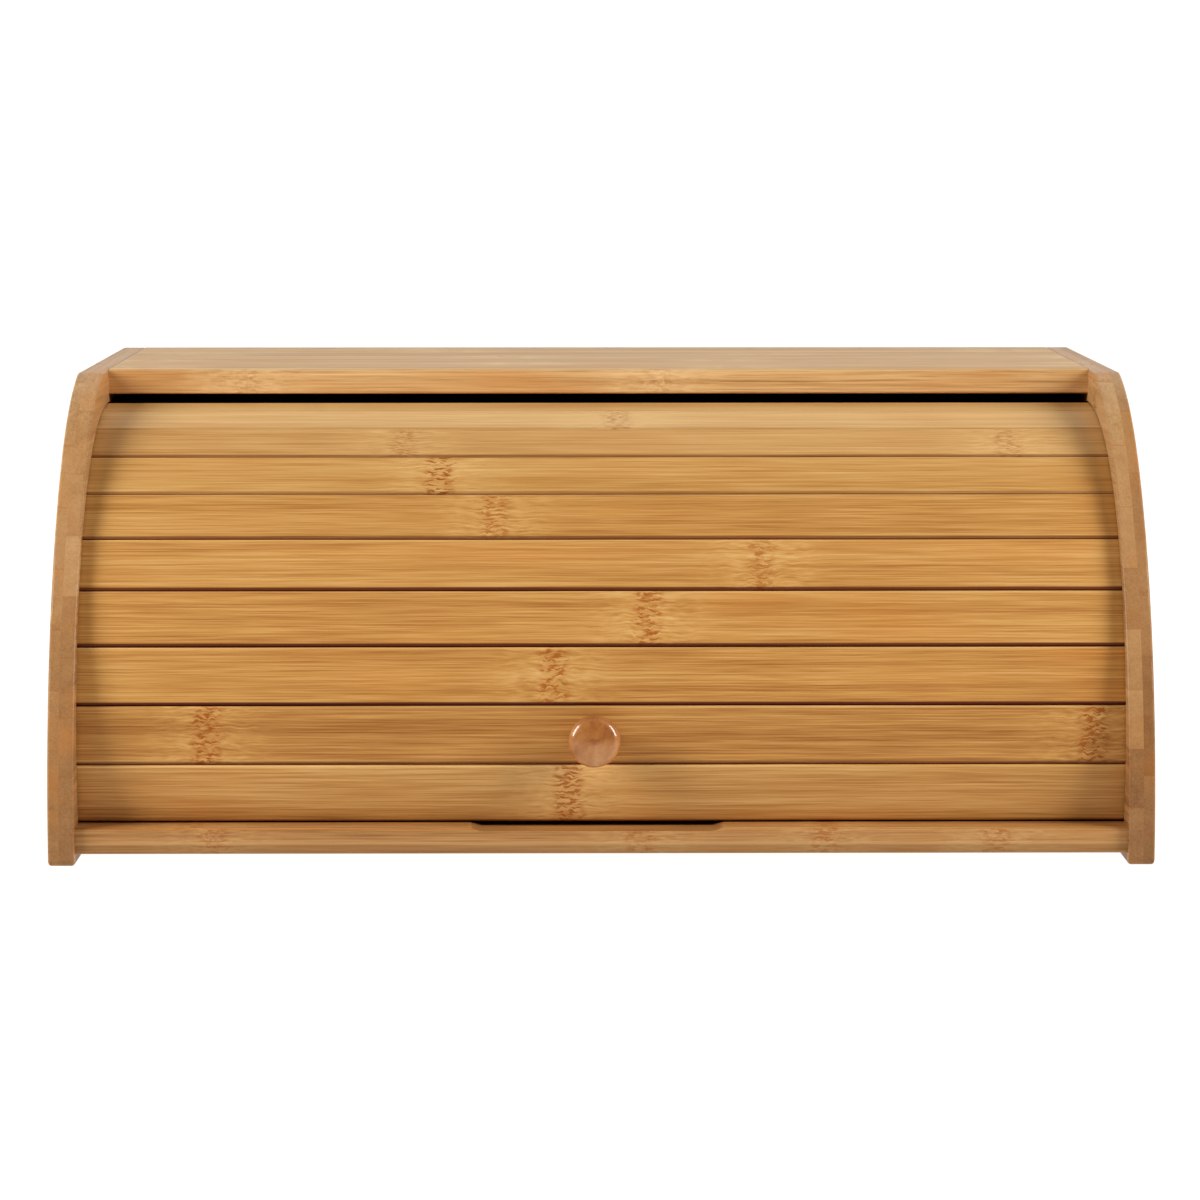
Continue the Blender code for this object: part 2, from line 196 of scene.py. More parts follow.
def turned(name, profile, steps):
    """A solid of revolution about Z from (height, radius) points."""
    bm = bmesh.new()
    points = [bm.verts.new((radius, 0, height)) for height, radius in profile]
    edges = [bm.edges.new(pair) for pair in zip(points, points[1:])]
    bmesh.ops.spin(
        bm, geom=points + edges, cent=(0, 0, 0), axis=(0, 0, 1), angle=math.tau, steps=steps
    )
    bmesh.ops.remove_doubles(bm, verts=bm.verts, dist=1e-6)
    return add_mesh(name, bm)


def loft(name, sections):
    """A closed body through equal loops of points, with a face at each end."""
    bm = bmesh.new()
    loops = [[bm.verts.new(point) for point in section] for section in sections]
    for near, far in zip(loops, loops[1:]):
        for i in range(len(near)):
            j = (i + 1) % len(near)
            bm.faces.new((near[i], near[j], far[j], far[i]))
    bm.faces.new(loops[0])
    bm.faces.new(loops[-1])
    return add_mesh(name, bm)


def arc(centre_y, centre_z, radius, start, end, step=math.radians(0.75)):
    """Points on an arc about X; angle 0 faces forward, and grows upward and then rearward."""
    steps = max(2, math.ceil(abs(end - start) / step))
    angles = [start + (end - start) * i / steps for i in range(steps + 1)]
    return [(centre_y - radius * math.cos(a), centre_z + radius * math.sin(a)) for a in angles]


def bake_modifiers(obj):
    """Replaces an object's mesh by what its modifiers make of it."""
    graph = bpy.context.evaluated_depsgraph_get()
    obj.data = bpy.data.meshes.new_from_object(obj.evaluated_get(graph))
    obj.modifiers.clear()


def soften(obj, width, segments=3):
    """Rounds the sharp edges, but not the joints between an arc's short sides."""
    bevel = obj.modifiers.new("soften", "BEVEL")
    bevel.width = width
    bevel.segments = segments
    bevel.limit_method = "ANGLE"
    bevel.angle_limit = math.radians(40)
    bake_modifiers(obj)


def cut(obj, *cutters):
    """Cuts other objects out of obj and removes them."""
    for cutter in cutters:
        boolean = obj.modifiers.new("cut", "BOOLEAN")
        boolean.operation = "DIFFERENCE"
        boolean.solver = "EXACT"
        boolean.object = cutter
    bake_modifiers(obj)
    for cutter in cutters:
        bpy.data.objects.remove(cutter)


def smooth(obj, degrees=30):
    """Smooth curves, with flat faces kept flat."""
    obj.data.shade_smooth()
    obj.data.set_sharp_from_angle(angle=math.radians(degrees))
    normals = obj.modifiers.new("flat_faces", "WEIGHTED_NORMAL")
    normals.keep_sharp = True


def dress(obj, material, body, slot, *nodes):
    """Gives a piece its material, its CAD body and the nodes it stands for; slot is not used."""
    obj.data.materials.clear()
    obj.data.materials.append(material)
    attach(obj, body)
    if nodes:
        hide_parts(*nodes)
    return obj


# ---------------------------------------------------------------- materials


def srgb(red, green, blue):
    """A display colour, 0 to 255, as the linear colour that shaders take."""
    def linear(value):
        value /= 255
        return value / 12.92 if value <= 0.04045 else ((value + 0.055) / 1.055) ** 2.4
    return (linear(red), linear(green), linear(blue), 1.0)


class Shader:
    """A material's node tree, written as nested calls: every method returns an output socket."""

    def __init__(self, name):
        self.material = bpy.data.materials.new(name)
        self.material.use_nodes = True
        self.tree = self.material.node_tree
        self.surface = self.tree.nodes["Principled BSDF"]

    def add(self, kind, inputs, output=0, **settings):
        node = self.tree.nodes.new(kind)
        for key, value in settings.items():
            setattr(node, key, value)
        for key, value in inputs.items():
            self.feed(node.inputs[key], value)
        return node.outputs[output]

    def feed(self, socket, value):
        if isinstance(value, bpy.types.NodeSocket):
            self.tree.links.new(value, socket)
        else:
            socket.default_value = value

    def math(self, operation, *values):
        return self.add("ShaderNodeMath", dict(enumerate(values)), operation=operation)

    def place(self):
        """The piece's own x, y and z."""
        return self.split(self.add("ShaderNodeTexCoord", {}, "Object"))

    def facing(self):
        """The surface's direction, in the piece's own x, y and z."""
        return self.split(self.add("ShaderNodeTexCoord", {}, "Normal"))

    def split(self, vector):
        node = self.tree.nodes.new("ShaderNodeSeparateXYZ")
        self.tree.links.new(vector, node.inputs[0])
        return node.outputs[0], node.outputs[1], node.outputs[2]

    def vector(self, x, y, z):
        return self.add("ShaderNodeCombineXYZ", {0: x, 1: y, 2: z})

    def stretched(self, *parts):
        """A vector from three pairs of a value and its factor."""
        return self.vector(*(self.math("MULTIPLY", value, factor) for value, factor in parts))

    def noise(self, vector, detail=2.0, roughness=0.5):
        inputs = {"Vector": vector, "Scale": 1.0, "Detail": detail, "Roughness": roughness}
        return self.add("ShaderNodeTexNoise", inputs, "Fac")

    def random(self, vector):
        return self.add("ShaderNodeTexWhiteNoise", {"Vector": vector}, "Value")

    def fade(self, value, near, far, at_near=1.0, at_far=0.0):
        """Runs smoothly from at_near to at_far as value goes from near to far."""
        inputs = {"Value": value, 1: near, 2: far, 3: at_near, 4: at_far}
        return self.add("ShaderNodeMapRange", inputs, interpolation_type="SMOOTHSTEP")

    def blend(self, factor, first, second):
        """A number between first and second."""
        return self.add("ShaderNodeMix", {0: factor, 2: first, 3: second})

    def mix(self, factor, first, second):
        """A colour between first and second."""
        return self.add("ShaderNodeMix", {0: factor, 6: first, 7: second}, 2, data_type="RGBA")

    def ramp(self, factor, stops):
        """A colour from stops, each a place from 0 to 1 and its colour."""
        node = self.tree.nodes.new("ShaderNodeValToRGB")
        self.feed(node.inputs[0], factor)
        while len(node.color_ramp.elements) < len(stops):
            node.color_ramp.elements.new(0.5)
        for element, (place, colour) in zip(node.color_ramp.elements, stops):
            element.position = place
            element.color = colour
        return node.outputs[0]

    def bump(self, height, strength, distance):
        inputs = {"Strength": strength, "Distance": distance, "Height": height}
        return self.add("ShaderNodeBump", inputs)

    def finish(self, colour, roughness, normal=None, **constants):
        """Sets the shader's inputs; constants go on its own sockets."""
        self.feed(self.surface.inputs["Base Color"], colour)
        self.feed(self.surface.inputs["Roughness"], roughness)
        if normal:
            self.feed(self.surface.inputs["Normal"], normal)
        for key, value in constants.items():
            self.surface.inputs[key.replace("_", " ")].default_value = value
        return self.material


# Dark fibre, body and pale fibre of each lot of bamboo
SLAT_BAMBOO = (srgb(158, 104, 50), srgb(201, 155, 94), srgb(227, 190, 134))
TOP_BAMBOO = (srgb(170, 124, 74), srgb(216, 180, 131), srgb(236, 208, 166))
BASE_BAMBOO = (srgb(138, 95, 52), srgb(190, 147, 97), srgb(214, 178, 128))
SIDE_BAMBOO = (srgb(132, 92, 54), srgb(182, 142, 99), srgb(208, 174, 131))
BACK_BAMBOO = (srgb(158, 116, 72), srgb(205, 166, 120), srgb(226, 196, 156))
JOINT_BROWN = srgb(168, 98, 36)
# Painted shade in the gaps between slats
SEAM_SHADE_BROWN = srgb(92, 24, 0)
ORANGE_TINT = srgb(204, 140, 72)
# A pale line between a board's layers, and also the painted highlight on a slat's upper edge
CREAM_LINE_AND_HIGHLIGHT = srgb(236, 198, 142)


def bamboo(
    name, grain, seed, palette, strips=True, ply_split=None, marks=(), front=None, tone=0.0, painted_climb=0.0,
    spread=0.30, under=0.0, over=0.0, joint=0.80, gloss=0.2, painted_edges_from=None, seam_shade=0.9,
):
    """Laminated bamboo: fibres, strips with their own tone, joints of the cane, and a satin lacquer.

    grain names the axes that run along the fibres, across a strip and through the board.
    ply_split is where through the board one layer ends and the next starts, its strips shifted.
    marks are the places along the grain of the cane's joints; in a board of strips they belong to the
    strip at front. tone makes the whole piece paler, and spread is how much its strips differ. climb
    makes a board paler across its strips, painted light that lifts the upper part of a side panel.
    under and over darken the layers on either side of ply_split. joint is how strong the cane's joints
    show. worn is how far across, from the middle, a slat's edges start: the upper one gets a painted
    highlight and the lower one painted shade, as strong as seam.
    """
    s = Shader(name)
    place = dict(zip("xyz", s.place()))
    along, across, through = (place[axis] for axis in grain)
    if strips:
        ply = s.math("GREATER_THAN", through, ply_split) if ply_split is not None else 0.0
        shifted = s.math("MULTIPLY_ADD", ply, STRIP_WIDTH * PLY_SHIFT, across)
        turns = s.math("DIVIDE", shifted, STRIP_WIDTH)
        strip = s.math("FLOOR", turns)
        within = s.math("FRACT", turns)
    else:
        ply, strip = 0.0, 0.0
    chance = s.random(s.vector(strip, ply, seed))
    offset = s.math("MULTIPLY", chance, 37.0)

    # Distance along the grain from the nearest joint of the cane, which wanders across the strip
    wander = s.noise(s.vector(seed, s.math("MULTIPLY", across, 240), through), 3.0)
    drift = s.math("MULTIPLY_ADD", wander, JOINT_WANDER, -JOINT_WANDER / 2)
    chosen, repeated = 1.0, 1.0
    for mark in marks:
        away = s.math("ABSOLUTE", s.math("ADD", s.math("SUBTRACT", along, mark), drift))
        chosen = s.math("MINIMUM", chosen, away)
    if strips:
        turn = s.math("FRACT", s.math("ADD", s.math("DIVIDE", along, JOINT_SPACING), chance))
        signed = s.math("MULTIPLY", s.math("SUBTRACT", turn, 0.5), JOINT_SPACING)
        repeated = s.math("ABSOLUTE", s.math("ADD", signed, drift))
    if strips and marks:
        behind = s.math("GREATER_THAN", strip, math.floor(front / STRIP_WIDTH) + 0.5)
        nearest = s.blend(behind, chosen, repeated)
    else:
        nearest = s.math("MINIMUM", chosen, repeated)
    core = s.fade(nearest, *JOINT_CORE)
    halo = s.fade(nearest, *JOINT_HALO)

    # Fibres wave gently near a joint and curl inside it
    def wave(along_scale, across_scale):
        x = s.math("MULTIPLY_ADD", along, along_scale, offset)
        y = s.math("MULTIPLY", across, across_scale)
        return s.math("SUBTRACT", s.noise(s.vector(x, y, s.math("MULTIPLY", through, across_scale))), 0.5)

    sway_reach = s.math("MULTIPLY_ADD", halo, SWAY_BY_JOINT, SWAY_ELSEWHERE)
    sway = s.math("MULTIPLY", wave(*SWAYS), sway_reach)
    curl = s.math("MULTIPLY", wave(*CURLS), s.math("MULTIPLY", core, CURL_IN_JOINT))
    bent = s.math("ADD", across, s.math("ADD", sway, curl))

    def fibres(along_scale, across_scale, detail=2.0, rough=0.55):
        x = s.math("MULTIPLY_ADD", along, along_scale, offset)
        y = s.math("MULTIPLY_ADD", bent, across_scale, offset)
        z = s.math("MULTIPLY_ADD", through, across_scale, seed)
        return s.noise(s.vector(x, y, z), detail, rough)

    # Cut across, the fibres are only small dots
    facing = s.math("ABSOLUTE", s.facing()["xyz".index(grain[0])])
    end_grain = s.fade(facing, 0.25, 0.85, 1.0, 0.40)
    fine = s.blend(halo, fibres(*FINE_FIBRES, 3.0), fibres(*JOINT_FIBRES))
    streak = fibres(*STREAKS)
    band = fibres(*BANDS)
    cloud = fibres(*CLOUDS)
    texture = s.math("MULTIPLY", s.math("SUBTRACT", fine, 0.5), FINE_CONTRAST)
    texture = s.math("MULTIPLY_ADD", s.math("SUBTRACT", streak, 0.5), STREAK_CONTRAST, texture)
    texture = s.math("MULTIPLY_ADD", s.math("SUBTRACT", band, 0.5), BAND_CONTRAST, texture)
    lifted = s.math("MULTIPLY_ADD", halo, HALO_LIFT, 0.5 + tone)
    value = s.math("MULTIPLY_ADD", texture, end_grain, lifted)
    # Painted light: the board grows paler up its strips, as if more light fell on a side panel's upper
    # part
    if painted_climb:
        height = s.math("SUBTRACT", across, PAINTED_CLIMB_MIDDLE)
        value = s.math("ADD", value, s.math("MULTIPLY", height, painted_climb))
    if strips:
        value = s.math("MULTIPLY_ADD", s.math("SUBTRACT", chance, 0.5), spread, value)
    colour = s.ramp(value, list(zip((0.0, 0.5, 1.0), palette)))
    orange = s.fade(cloud, 0.48, 0.75, 0.0, 0.35)
    colour = s.mix(s.math("MULTIPLY", orange, s.math("SUBTRACT", 1.0, halo)), colour, ORANGE_TINT)

    # Short brown dashes fill a joint
    dash = s.fade(fibres(*DASHES), 0.45, 0.62, 0.0, 1.0)
    dashes = s.math("MULTIPLY", s.math("MULTIPLY", dash, core), end_grain)
    colour = s.mix(s.math("MULTIPLY", dashes, joint), colour, JOINT_BROWN)
    if under:
        colour = s.mix(s.math("MULTIPLY", s.math("SUBTRACT", 1.0, ply), under), colour, palette[0])
        from_split = s.math("ABSOLUTE", s.math("SUBTRACT", through, ply_split))
        colour = s.mix(s.fade(from_split, 0.0003, 0.0009, 0.25), colour, CREAM_LINE_AND_HIGHLIGHT)
    if over:
        colour = s.mix(s.math("MULTIPLY", ply, over), colour, palette[0])
    if strips:
        edge = s.math("MINIMUM", within, s.math("SUBTRACT", 1.0, within))
        glue_line = s.fade(edge, 0.004, 0.020)
        colour = s.mix(s.math("MULTIPLY", glue_line, 0.22), colour, JOINT_BROWN)
    # Painted light on a slat's long edges: a highlight along the upper edge, where its rounding catches
    # the light, and painted shade in the gap along the lower edge
    if painted_edges_from is not None:
        painted_highlight = s.fade(across, painted_edges_from, painted_edges_from + 0.0006, 0.0, 0.45)
        colour = s.mix(s.math("MULTIPLY", painted_highlight, s.fade(streak, 0.35, 0.6, 0.3, 1.0)), colour, CREAM_LINE_AND_HIGHLIGHT)
        below = s.fade(across, -painted_edges_from + 0.0002, -painted_edges_from - 0.0006, 0.0, seam_shade)
        colour = s.mix(below, colour, SEAM_SHADE_BROWN)

    relief = s.math("MULTIPLY_ADD", dashes, -0.8, s.math("MULTIPLY_ADD", streak, 0.8, fine))
    normal = s.bump(relief, 0.30, 0.00012)
    roughness = s.math("MULTIPLY_ADD", fine, 0.20, 0.62 - gloss)
    return s.finish(
        colour, roughness, normal, Coat_Weight=gloss, Coat_Roughness=0.3, Specular_IOR_Level=0.35
    )


def lacquered_knob():
    """Turned wood under a thick gloss lacquer, its end grain round a dark pith."""
    s = Shader("knob_gloss_wood")
    x, y, z = s.place()
    tilt = math.radians(90) - KNOB_ANGLE
    up = s.math("MULTIPLY_ADD", z, math.sin(tilt), s.math("MULTIPLY", y, math.cos(tilt)))
    out = s.math("SUBTRACT", s.math("MULTIPLY", z, math.cos(tilt)), s.math("MULTIPLY", y, math.sin(tilt)))
    radius = s.math("SQRT", s.math("ADD", s.math("MULTIPLY", x, x), s.math("MULTIPLY", up, up)))
    grain = s.noise(s.stretched((x, 420), (up, 420), (out, 30)), 3.0)
    patch = s.noise(s.stretched((x, 90), (up, 60), (out, 1)), 2.0)
    value = s.math("MULTIPLY_ADD", s.math("SUBTRACT", grain, 0.5), 0.6, patch)
    stops = [(0.2, srgb(152, 98, 52)), (0.5, srgb(180, 126, 76)), (0.85, srgb(200, 152, 104))]
    colour = s.ramp(value, stops)
    pith = s.fade(s.math("MULTIPLY_ADD", grain, 0.002, radius), 0.0012, 0.0030)
    colour = s.mix(s.math("MULTIPLY", pith, 0.45), colour, srgb(140, 82, 42))
    normal = s.bump(grain, 0.08, 0.0001)
    return s.finish(colour, 0.36, normal, Coat_Weight=0.85, Coat_Roughness=0.12, Specular_IOR_Level=0.4)


def canvas():
    """Plain-woven cotton: threads over and under each other, and a little unevenness."""
    s = Shader("tambour_canvas")
    x, y, z = s.place()
    turn = s.math("ARCTAN2", z, s.math("MULTIPLY", y, -1.0))
    run = s.math("MULTIPLY", turn, SLAT_FACE_RADIUS)
    threads = math.tau / THREAD_PITCH
    warp = s.math("SINE", s.math("MULTIPLY", x, threads))
    weft = s.math("SINE", s.math("MULTIPLY", run, threads))
    weave = s.math("MULTIPLY", warp, weft)
    slub = s.noise(s.stretched((x, 60), (run, 900), (0.0, 1)), 3.0)
    height = s.math("MULTIPLY_ADD", weave, 0.5, slub)
    value = s.math("MULTIPLY_ADD", weave, 0.12, s.math("MULTIPLY_ADD", slub, 0.5, 0.2))
    stops = [(0.1, srgb(150, 132, 104)), (0.5, srgb(206, 190, 160)), (0.9, srgb(226, 214, 190))]
    colour = s.ramp(value, stops)
    normal = s.bump(height, 0.7, 0.0003)
    return s.finish(colour, 0.92, normal, Sheen_Weight=0.2, Sheen_Roughness=0.5)


def zinc():
    """Bright zinc plating, finely speckled and slightly yellowed."""
    s = Shader("zinc_plated_steel")
    x, y, z = s.place()
    speck = s.noise(s.stretched((x, 900), (y, 900), (z, 900)), 3.0)
    colour = s.ramp(speck, [(0.3, srgb(196, 190, 172)), (0.7, srgb(222, 219, 210))])
    roughness = s.math("MULTIPLY_ADD", speck, 0.25, 0.18)
    return s.finish(colour, roughness, s.bump(speck, 0.15, 0.0001), Metallic=1.0)


def beech():
    """Bare pale wood, its grain along the dowel."""
    s = Shader("bare_dowel_wood")
    x, y, z = s.place()
    grain = s.noise(s.stretched((x, 40), (y, 1200), (z, 1200)), 3.0)
    colour = s.ramp(grain, [(0.2, srgb(190, 150, 105)), (0.8, srgb(222, 190, 148))])
    return s.finish(colour, 0.7, s.bump(grain, 0.3, 0.0001))


# ---------------------------------------------------------------- boards


def side_outline():
    """Side panel seen from the side: foot, wide front arc, tighter upper arc, flat top, rear."""
    front, rear, top = SIDE_LOW.y, SIDE_HIGH.y, SIDE_HIGH.z
    foot_corner = 0.0015
    wide_y = front + FRONT_ARC_RADIUS
    turn_in = FRONT_ARC_RADIUS - UPPER_ARC_RADIUS
    upper_y = wide_y - turn_in * math.cos(FRONT_ARC_TURN)
    upper_z = FRONT_ARC_CENTRE_Z + turn_in * math.sin(FRONT_ARC_TURN)
    upper_end = math.asin((top - upper_z) / UPPER_ARC_RADIUS)
    foot = [(front + foot_corner, 0.0), (front, foot_corner)]
    wide = arc(wide_y, FRONT_ARC_CENTRE_Z, FRONT_ARC_RADIUS, 0, FRONT_ARC_TURN)
    upper = arc(upper_y, upper_z, UPPER_ARC_RADIUS, FRONT_ARC_TURN, upper_end)[1:]
    return foot + wide + upper + [(rear, top), (rear, 0.0)]


def groove_cutter(way):
    """The groove's band round the tambour axis, with the round ends that a router leaves."""
    outer = math.hypot(SLAT_FACE_RADIUS, SLAT_WIDTH / 2) + GROOVE_PLAY
    inner = SLAT_FACE_RADIUS - SLAT_THICKNESS - GROOVE_PLAY
    middle, half = (outer + inner) / 2, (outer - inner) / 2
    start = CURTAIN_START - GROOVE_END_PLAY
    end = CURTAIN_START + len(SLAT_NODES) * SLAT_PITCH + CURTAIN_TRAVEL + GROOVE_END_PLAY

    def round_end(angle, side):
        points = []
        for turn in (math.radians(15 * i) for i in range(1, 12)):
            out = middle + side * half * math.cos(turn)
            on = side * half * math.sin(turn)
            y = AXIS.y - out * math.cos(angle) + on * math.sin(angle)
            z = AXIS.z + out * math.sin(angle) + on * math.cos(angle)
            points.append((y, z))
        return points

    band = arc(AXIS.y, AXIS.z, outer, start, end) + round_end(end, 1)
    band += arc(AXIS.y, AXIS.z, inner, end, start) + round_end(start, -1)
    mouth = way * (INNER_HALF - 0.002)
    return extrusion("groove", [(mouth, y, z) for y, z in band], (way * (GROOVE_DEPTH + 0.002), 0, 0))


def side_panel(name, node, way, material):
    """A side panel with its groove; way is -1 for the left one and 1 for the right one."""
    inner, outer = way * INNER_HALF, way * SIDE_HIGH.x
    obj = extrusion(name, [(inner, y, z) for y, z in side_outline()], (outer - inner, 0, 0))
    soften(obj, SIDE_EASE)
    cut(obj, groove_cutter(way))
    smooth(obj)
    return dress(obj, material, "carcass", "side_bamboo", node)


def fitted(low, high):
    """A board's box, tight between the side panels where the CAD leaves its gap."""
    return Vector((-INNER_HALF, low.y, low.z)), Vector((INNER_HALF, high.y, high.z))


def soften_long_edges(obj, width, segments=3):
    """Rounds the edges that run from side to side, and leaves the ends square."""
    bm = bmesh.new()
    bm.from_mesh(obj.data)
    long_edges = [e for e in bm.edges if abs(e.verts[0].co.x - e.verts[1].co.x) > 0.1]
    bmesh.ops.bevel(bm, geom=long_edges, offset=width, segments=segments, profile=0.5, affect="EDGES")
    bm.to_mesh(obj.data)
    bm.free()


def top_board(material):
    obj = block("top_board", *fitted(TOP_LOW, TOP_HIGH))
    soften_long_edges(obj, TOP_EASE)
    smooth(obj)
    return dress(obj, material, "carcass", "top_bamboo", "top_panel")


def scoop_cutter():
    """The finger scoop's outline run backwards from in front of the base."""
    half, steps = SCOOP_WIDTH / 2, 12
    ease = []
    for i in range(steps + 1):
        t = i / steps
        drop = SCOOP_DROP * (1 - math.cos(math.pi * t)) / 2
        ease.append((half - SCOOP_RAMP * t, BASE_HIGH.z - drop))
    right = [(half, BASE_HIGH.z + 0.004)] + ease
    outline = right + [(-x, z) for x, z in reversed(right)]
    front = BASE_LOW.y - 0.005
    rear = SIDE_LOW.y + SCOOP_REACH
    return extrusion("scoop", [(SCOOP_X + x, front, z) for x, z in outline], (0, rear - front, 0))


def base_board(material):
    obj = block("base_board", *fitted(BASE_LOW, BASE_HIGH))
    soften_long_edges(obj, BASE_EASE, 4)
    cut(obj, scoop_cutter())
    smooth(obj)
    return dress(obj, material, "carcass", "base_bamboo", "base_panel")


def back_screw_nodes():
    return sorted(name for name in frame["nodes"] if name.startswith("back_screw_"))


def countersunk_profile(clearance):
    """Countersunk screw along its driving direction, its flat head starting at 0."""
    low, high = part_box(back_screw_nodes()[0])
    head = (high.x - low.x) / 2 + clearance
    shank = BACK_SCREW_SHANK_RADIUS + clearance
    length = high.y - low.y
    point = length - 0.004
    rim = 0.0005
    taper = rim + head - shank
    mouth = -0.002 if clearance else 0.0
    return [(mouth, 0.0), (mouth, head), (rim, head), (taper, shank), (point, shank), (length, 0.0)]


def at_back_screw(obj, node):
    """Puts a turned shape on a back screw's line, driving forwards from the panel's rear face."""
    low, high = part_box(node)
    head = ((low.x + high.x) / 2, high.y, (low.z + high.z) / 2)
    obj.matrix_world = Matrix.Translation(head) @ DRIVE


def back_board(material):
    """The back panel, bored and countersunk for its eight screws."""
    obj = block("back_board", *fitted(BACK_LOW, BACK_HIGH))
    cutters = []
    for node in back_screw_nodes():
        cutter = turned("countersink", countersunk_profile(GAP), 32)
        at_back_screw(cutter, node)
        cutters.append(cutter)
    bpy.context.view_layer.update()
    cut(obj, *cutters)
    smooth(obj)
    return dress(obj, material, "carcass", "back_bamboo", "back_panel")


# ---------------------------------------------------------------- screws and knob


def cross_recess(size, depth):
    """A tapered cross for a screw's drive, its mouth at height 0 and its point below."""
    cutters = []
    for turn in (0, math.pi / 2):
        bm = bmesh.new()
        bmesh.ops.create_cube(bm, size=1.0)
        for vert in bm.verts:
            deep = vert.co.z < 0
            vert.co.x *= size * (0.45 if deep else 1.0)
            vert.co.y *= size * (0.16 if deep else 0.24)
            vert.co.z = -depth if deep else 0.001
        cutter = add_mesh("cross", bm)
        cutter.rotation_euler.z = turn
        cutters.append(cutter)
    return cutters


def back_screws(material):
    """One screw with a cross recess, copied to each of the back screws' places."""
    first = turned("back_screw_head", countersunk_profile(0.0), 48)
    first.data.transform(Matrix.Rotation(math.pi, 4, "X"))
    bpy.context.view_layer.update()
    cut(first, *cross_recess(0.0034, 0.0014))
    first.data.transform(Matrix.Rotation(math.pi, 4, "X"))
    smooth(first, 35)
    for number, node in enumerate(back_screw_nodes(), 1):
        obj = first.copy()
        obj.name = f"crosshead_screw_{number}"
        bpy.context.scene.collection.objects.link(obj)
        at_back_screw(obj, node)
        dress(obj, material, "carcass", "steel", node)
    bpy.data.objects.remove(first)


def knob_profile():
    """Knob outline as (height above the slat, radius): foot, waist, round shoulder, low dome."""
    shoulder, dome_rise = 0.0034, 0.0008
    rim = KNOB_LENGTH - dome_rise - shoulder
    stem = [(0.0, 0.0058), (0.0004, 0.0061), (0.0012, 0.0062), (0.0034, 0.0056), (0.0058, 0.0062)]
    flare = [(0.0082, 0.0078), (0.0100, 0.0090), (rim - 0.0002, KNOB_RADIUS)]
    turns = [math.radians(9 * i) for i in range(1, 11)]
    shoulder_line = [
        (rim + shoulder * math.sin(a), KNOB_RADIUS - shoulder + shoulder * math.cos(a)) for a in turns
    ]
    dome = [(KNOB_LENGTH - dome_rise * 0.35, 0.0036), (KNOB_LENGTH, 0.0)]
    return [(0.0, 0.0)] + stem + flare + shoulder_line + dome


def slat_frame(angle):
    """Frame of a slat: its origin on the tambour axis, -Y out through the slat's face."""
    return Matrix.Translation(AXIS) @ Matrix.Rotation(-angle, 4, "X")


def knob_frame():
    """On the knob slat's face, a little below its middle, Z pointing out of it."""
    low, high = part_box("knob")
    face = Vector(((low.x + high.x) / 2, -SLAT_FACE_RADIUS - GAP, -KNOB_DROP))
    return slat_frame(KNOB_ANGLE) @ Matrix.Translation(face) @ DRIVE


def settle(obj, place):
    """Moves an object to place with its turn worked into the mesh."""
    obj.data.transform(place.to_3x3().to_4x4())
    obj.matrix_world = Matrix.Translation(place.translation)


def turned_knob(material):
    obj = turned("turned_knob", knob_profile(), 96)
    smooth(obj, 50)
    settle(obj, knob_frame())
    return dress(obj, material, "tambour", "knob_wood", "knob")


def knob_fixing_screw(material):
    """Pan-head screw seen from inside the box, with a cross recess."""
    seat = -(SLAT_THICKNESS + 3 * GAP + CLOTH_THICKNESS)
    end = seat - PAN_HEAD_HEIGHT
    crown = [
        (seat - PAN_HEAD_HEIGHT * math.sin(a), PAN_HEAD_RADIUS * math.cos(a) ** 0.6)
        for a in (math.radians(10 * i) for i in range(9))
    ]
    tip = SCREW_BITE
    shank = [(seat, SCREW_SHANK_RADIUS), (tip - 0.003, SCREW_SHANK_RADIUS), (tip, 0.0)]
    obj = turned("pan_head_screw", [(end, 0.0)] + crown[::-1] + shank, 48)
    flip = Matrix.Translation((0, 0, end)) @ Matrix.Rotation(math.pi, 4, "X")
    obj.data.transform(flip.inverted())
    cut(obj, *cross_recess(0.0040, 0.0014))
    obj.data.transform(flip)
    smooth(obj, 35)
    settle(obj, knob_frame())
    return dress(obj, material, "tambour", "steel", "knob_screw")


# ---------------------------------------------------------------- curtain


def slat_section(x, seed):
    """A slat's outline at x, as (y, z), with eased edges that wander a little."""
    half, front = SLAT_WIDTH / 2, -SLAT_FACE_RADIUS
    rear = front + SLAT_THICKNESS
    lift = SLAT_EDGE_WANDER * noise.noise(Vector((x * 14, seed, 0.3)))
    drop = SLAT_EDGE_WANDER * noise.noise(Vector((x * 14, seed, 7.3)))
    ease, back_ease, steps = SLAT_EASE, SLAT_BACK_EASE, 5
    points = []
    for centre_y, centre_z, radius, start in (
        (front + ease, half - ease + lift, ease, 0),
        (rear - back_ease, half - back_ease + lift, back_ease, 1),
        (rear - back_ease, -half + back_ease - drop, back_ease, 2),
        (front + ease, -half + ease - drop, ease, 3),
    ):
        for i in range(steps + 1):
            turn = math.pi / 2 * (start + i / steps)
            points.append((centre_y - radius * math.cos(turn), centre_z + radius * math.sin(turn)))
    return points


def slat(node, number, material):
    """A slat on its own stretch of the curtain; number 1 is the lowest."""
    low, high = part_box(node)
    steps = 64
    sections = []
    for i in range(steps + 1):
        x = low.x + (high.x - low.x) * i / steps
        sections.append([(x, y, z) for y, z in slat_section(x, number * 3.7)])
    obj = loft(f"bamboo_slat_{number:02d}", sections)
    smooth(obj)
    obj.matrix_world = slat_frame(CURTAIN_START + (number - 0.5) * SLAT_PITCH)
    return dress(obj, material, "tambour", "slat_bamboo", node)


